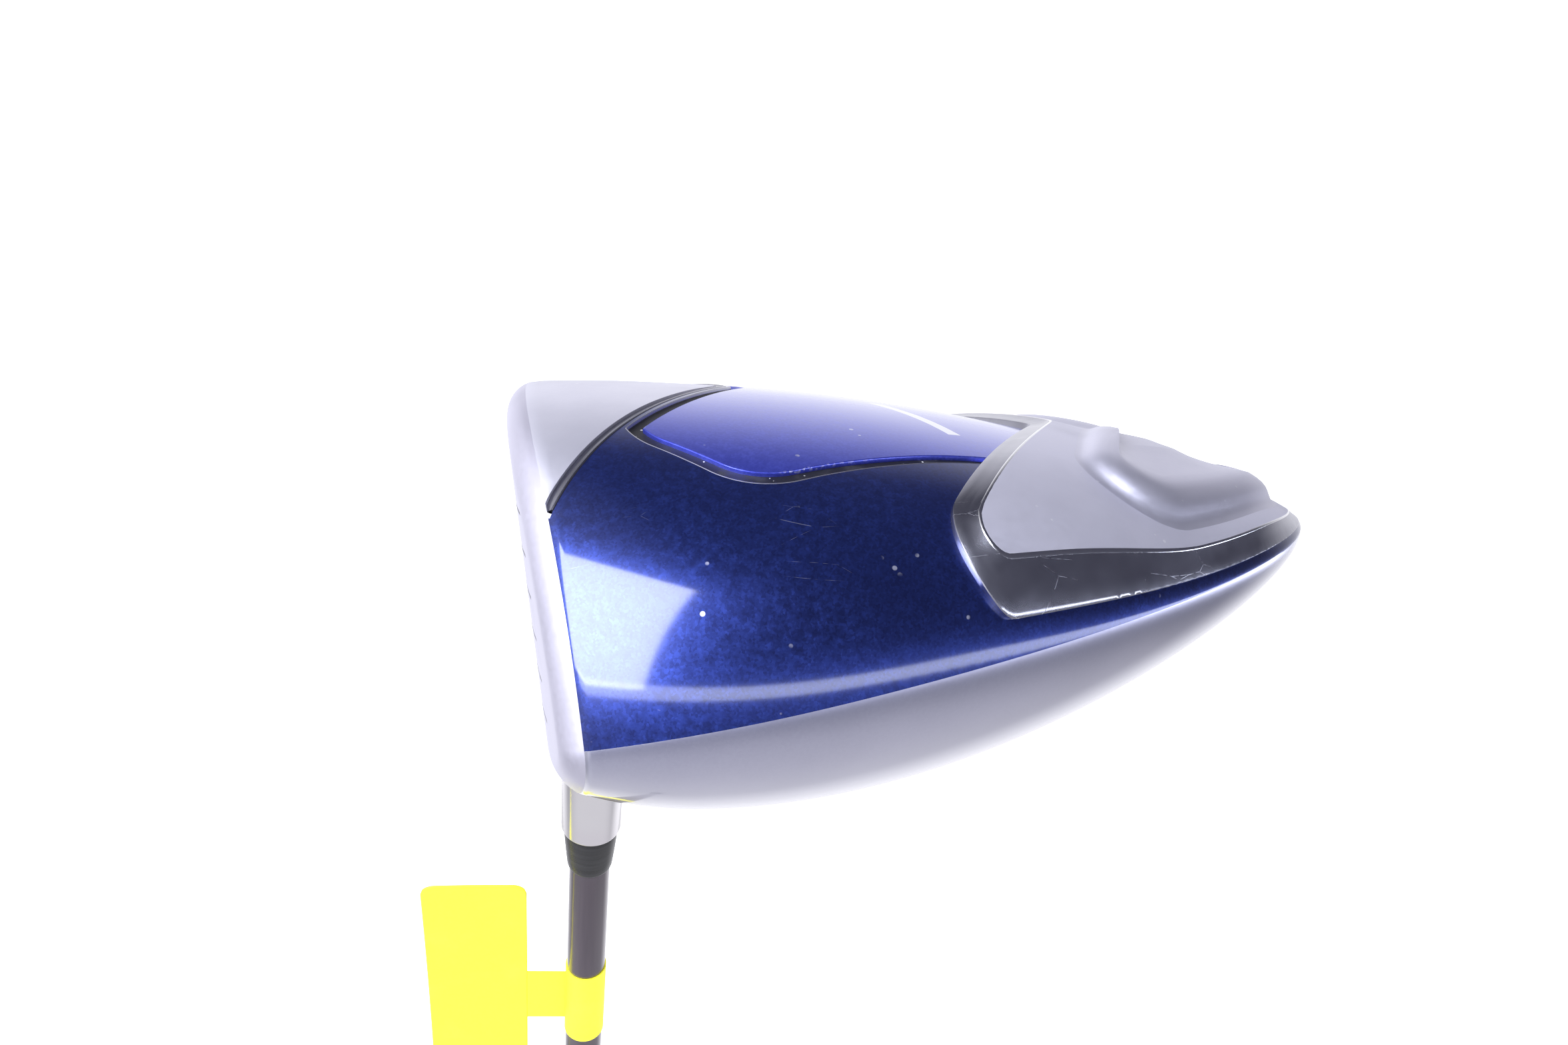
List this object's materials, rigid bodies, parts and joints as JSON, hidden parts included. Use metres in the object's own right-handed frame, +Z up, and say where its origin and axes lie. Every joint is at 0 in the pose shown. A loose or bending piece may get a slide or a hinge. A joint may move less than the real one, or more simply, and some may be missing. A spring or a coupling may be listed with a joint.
{
  "type": "golf driver",
  "caption": "Golf driver with a hollow metal head, swept sole inlays, raised rear pod, through-bore hosel, tapered shaft and rubber grip.",
  "frame": {"origin": "centre of the grip's butt end, at the mouth of the vent hole", "axes": "+Z up the shaft's axis from the butt to the head, +X to the toe side of the head, -Y to the side that the face looks to"},
  "size_m": [0.1087, 0.1374, 1.1777],
  "materials": {
    "face_metal": "satin titanium",
    "silver_body": "satin silver",
    "dark_bevel": "polished dark",
    "crown_paint": "pearl silver-blue gloss",
    "navy_paint": "metallic navy gloss",
    "royal_paint": "metallic royal blue gloss",
    "groove_black": "black paint with dust",
    "plate_silver": "bead-blasted satin",
    "tungsten": "sintered",
    "hot_melt": "waxy",
    "hosel_chrome": "polished",
    "tube_steel": "machined",
    "epoxy": "cured resin",
    "ferrule_black": "polished",
    "shaft_paint": "gunmetal lacquer over carbon fibre",
    "grip_rubber": "cord-textured",
    "tape_paper": "crepe paper",
    "label_yellow": "matt sticker"
  },
  "bodies": {
    "root": {"face_plate": "face_metal", "front_body": "silver_body", "front_trim_band": "dark_bevel", "crown_shell": "crown_paint", "sole_shell": "navy_paint", "centre_panel": "royal_paint", "groove_trim": "groove_black", "rear_plate": "plate_silver", "weight_pod": "plate_silver", "pod_weight": "tungsten", "damping_pad": "hot_melt", "hosel_neck": "hosel_chrome", "hosel_tube": "tube_steel", "epoxy_bond": "epoxy", "ferrule": "ferrule_black", "shaft": "shaft_paint", "shaft_tip_plug": "tube_steel", "tip_weight": "tungsten", "grip_tape": "tape_paper", "grip_sleeve": "grip_rubber", "grip_cap": "grip_rubber", "stock_label": "label_yellow"}
  },
  "joints": []
}
